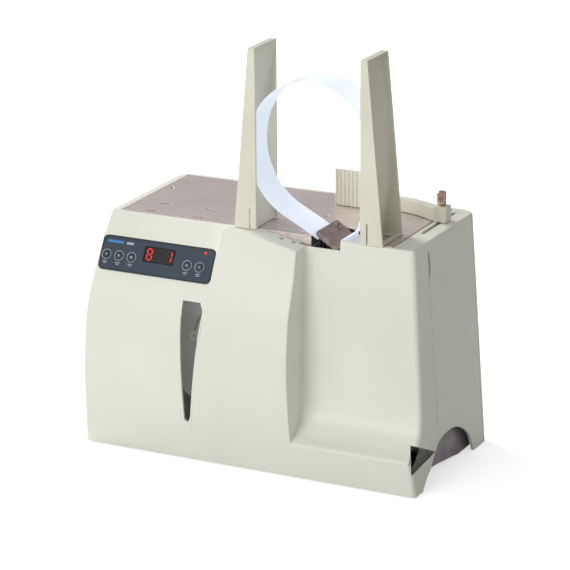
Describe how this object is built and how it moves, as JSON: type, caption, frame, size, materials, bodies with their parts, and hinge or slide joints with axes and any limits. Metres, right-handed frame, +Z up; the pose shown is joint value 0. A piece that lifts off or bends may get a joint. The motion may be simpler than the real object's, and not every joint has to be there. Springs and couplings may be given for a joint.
{
  "type": "paper band banding machine",
  "caption": "Tabletop banding machine that wraps mail bundles in a paper band, with a loop of tape between two tall guides over a slotted table.",
  "frame": {"origin": "under the middle of the machine's whole outline, on the surface it stands on", "axes": "+Z up, -Y towards the operator at the front, +X to the operator's right"},
  "size_m": [0.3598, 0.1956, 0.4145],
  "materials": {
    "cover_plastic": "satin",
    "guide_plastic": "satin",
    "sheet_steel": "brushed",
    "plated_steel": "plated",
    "machined_aluminium": "machined",
    "hard_steel": "ground",
    "gear_brass": "cut",
    "black_plastic": "satin",
    "fin_steel": "dark",
    "panel_film": "satin",
    "button_plastic": "satin",
    "display_lens": "tinted",
    "red_lens": "gloss",
    "smoked_window": "smoked",
    "green_board": "satin",
    "motor_black": "satin",
    "roller_rubber": "matte",
    "hub_plastic": "satin",
    "clip_plastic": "satin",
    "core_card": "matte",
    "band_paper": "matte",
    "transformer_iron": "varnished"
  },
  "bodies": {
    "machine": {"base_tray": "sheet_steel", "rubber_feet": "roller_rubber", "chassis_sides": "sheet_steel", "mechanism_plate": "plated_steel", "table_plate": "sheet_steel", "right_side_cover": "cover_plastic", "left_side_cover": "cover_plastic", "rear_cover": "cover_plastic", "cover_screws": "plated_steel", "body_hinge_leaves": "plated_steel", "hinge_pins": "plated_steel", "tape_fin": "plated_steel", "head_cap": "black_plastic", "head_fins": "fin_steel", "press_guide": "machined_aluminium", "cam_bearings": "plated_steel", "cam_motor": "motor_black", "feed_motor": "motor_black", "tape_chute": "sheet_steel", "spindle": "plated_steel", "tape_loop": "band_paper", "transformer": "transformer_iron", "controller_board": "green_board", "power_inlet": "black_plastic", "power_switch": "black_plastic"},
    "front_door": {"front_cover": "cover_plastic", "door_hinge_leaves": "plated_steel", "window_pane": "smoked_window", "control_panel": "panel_film", "display_window": "display_lens", "panel_board": "green_board", "indicator_lamp": "red_lens", "sensor_lenses": "black_plastic"},
    "start_button": {"start_button": "button_plastic"},
    "stop_button": {"stop_button": "button_plastic"},
    "feed_button": {"feed_button": "button_plastic"},
    "heat_button": {"heat_button": "button_plastic"},
    "tension_button": {"tension_button": "button_plastic"},
    "left_guide": {"left_guide": "guide_plastic"},
    "right_guide": {"right_guide": "guide_plastic"},
    "spool": {"spool_hub": "hub_plastic", "hub_clip": "clip_plastic", "roll_core": "core_card", "tape_roll": "band_paper"},
    "feed_drive": {"feed_shaft": "plated_steel", "feed_roller": "roller_rubber"},
    "pinch_arm": {"pinch_arm": "plated_steel"},
    "pinch_roller": {"pinch_roller": "machined_aluminium"},
    "cam_drive": {"cam_shaft": "plated_steel", "press_cams": "hard_steel", "cam_gear": "gear_brass"},
    "motor_pinion": {"motor_pinion": "gear_brass"},
    "left_gripper": {"left_gripper": "machined_aluminium"},
    "heater_press": {"heater_press": "gear_brass"},
    "right_gripper": {"right_gripper": "machined_aluminium"},
    "anvil_blade": {"anvil_blade": "plated_steel"},
    "backstop": {"backstop_fence": "guide_plastic", "clamp_nut": "plated_steel"},
    "clamp_knob": {"clamp_knob": "fin_steel"},
    "switch_rocker": {"switch_rocker": "black_plastic"}
  },
  "joints": [
    {"name": "front_cover_hinge", "type": "hinge", "parent": "machine", "child": "front_door", "pos_m": [-0.1755, -0.0251, 0.09993], "axis": [-0.0689, 0, -0.9976], "range_deg": [0, 95]},
    {"name": "start_button_press", "type": "slide", "parent": "front_door", "child": "start_button", "axis": [0, 0.8686, -0.4955], "range_m": [0, 0.0005], "stiffness_N_per_m": 300, "springref_m": -0.0008},
    {"name": "stop_button_press", "type": "slide", "parent": "front_door", "child": "stop_button", "axis": [0, 0.8686, -0.4955], "range_m": [0, 0.0005], "stiffness_N_per_m": 300, "springref_m": -0.0008},
    {"name": "feed_button_press", "type": "slide", "parent": "front_door", "child": "feed_button", "axis": [0, 0.8686, -0.4955], "range_m": [0, 0.0005], "stiffness_N_per_m": 300, "springref_m": -0.0008},
    {"name": "heat_button_press", "type": "slide", "parent": "front_door", "child": "heat_button", "axis": [0, 0.8686, -0.4955], "range_m": [0, 0.0005], "stiffness_N_per_m": 300, "springref_m": -0.0008},
    {"name": "tension_button_press", "type": "slide", "parent": "front_door", "child": "tension_button", "axis": [0, 0.8686, -0.4955], "range_m": [0, 0.0005], "stiffness_N_per_m": 300, "springref_m": -0.0008},
    {"name": "left_guide_lift", "type": "slide", "parent": "machine", "child": "left_guide", "axis": [0, 0, 1], "range_m": [0, 0.008]},
    {"name": "right_guide_lift", "type": "slide", "parent": "machine", "child": "right_guide", "axis": [0, 0, 1], "range_m": [0, 0.008]},
    {"name": "spool_turn", "type": "hinge", "parent": "machine", "child": "spool", "pos_m": [-0.0405, -0.0351, 0.118], "axis": [0, 1, 0], "continuous": true},
    {"name": "feed_turn", "type": "hinge", "parent": "machine", "child": "feed_drive", "pos_m": [0.0533, -0.0351, 0.196], "axis": [0, 1, 0], "continuous": true},
    {"name": "pinch_arm_swing", "type": "hinge", "parent": "machine", "child": "pinch_arm", "pos_m": [0.03, -0.0101, 0.166], "axis": [0, 1, 0], "range_deg": [-6, 0], "stiffness_Nm_per_rad": 1, "springref_deg": 8.59},
    {"name": "pinch_roller_turn", "type": "hinge", "parent": "pinch_arm", "child": "pinch_roller", "pos_m": [0.0358, -0.0351, 0.196], "axis": [0, 1, 0], "continuous": true},
    {"name": "cam_turn", "type": "hinge", "parent": "machine", "child": "cam_drive", "pos_m": [0.0745, -0.0351, 0.1325], "axis": [0, 1, 0], "range_deg": [0, 120]},
    {"name": "pinion_turn", "type": "hinge", "parent": "machine", "child": "motor_pinion", "pos_m": [0.115, -0.0001, 0.1325], "axis": [0, 1, 0], "range_deg": [-345, 1]},
    {"name": "left_gripper_lift", "type": "slide", "parent": "machine", "child": "left_gripper", "axis": [0, 0, 1], "range_m": [-0.0001, 0.0061]},
    {"name": "heater_press_lift", "type": "slide", "parent": "machine", "child": "heater_press", "axis": [0, 0, 1], "range_m": [-0.0001, 0.0061]},
    {"name": "right_gripper_lift", "type": "slide", "parent": "machine", "child": "right_gripper", "axis": [0, 0, 1], "range_m": [-0.0001, 0.0061]},
    {"name": "anvil_draw", "type": "slide", "parent": "machine", "child": "anvil_blade", "axis": [0, 1, 0], "range_m": [0, 0.042]},
    {"name": "backstop_slide", "type": "slide", "parent": "machine", "child": "backstop", "axis": [0, 1, 0], "range_m": [-0.042, 0.03]},
    {"name": "clamp_knob_turn", "type": "hinge", "parent": "backstop", "child": "clamp_knob", "pos_m": [0.1467, 0.0464, 0.255], "axis": [0, 0, 1], "range_deg": [0, 360]},
    {"name": "power_rocker", "type": "hinge", "parent": "machine", "child": "switch_rocker", "pos_m": [-0.084, 0.0939, 0.042], "axis": [1, 0, 0], "range_deg": [-10, 10]}
  ],
  "couplings": [
    {"joint": "pinion_turn", "follows": "cam_turn", "ratio": -2.8571},
    {"joint": "pinch_roller_turn", "follows": "feed_turn", "ratio": -1.1212},
    {"joint": "left_gripper_lift", "follows": "cam_turn", "m_per_rad": 0.0028648},
    {"joint": "heater_press_lift", "follows": "cam_turn", "m_per_rad": 0.0028648},
    {"joint": "right_gripper_lift", "follows": "cam_turn", "m_per_rad": 0.0028648}
  ]
}
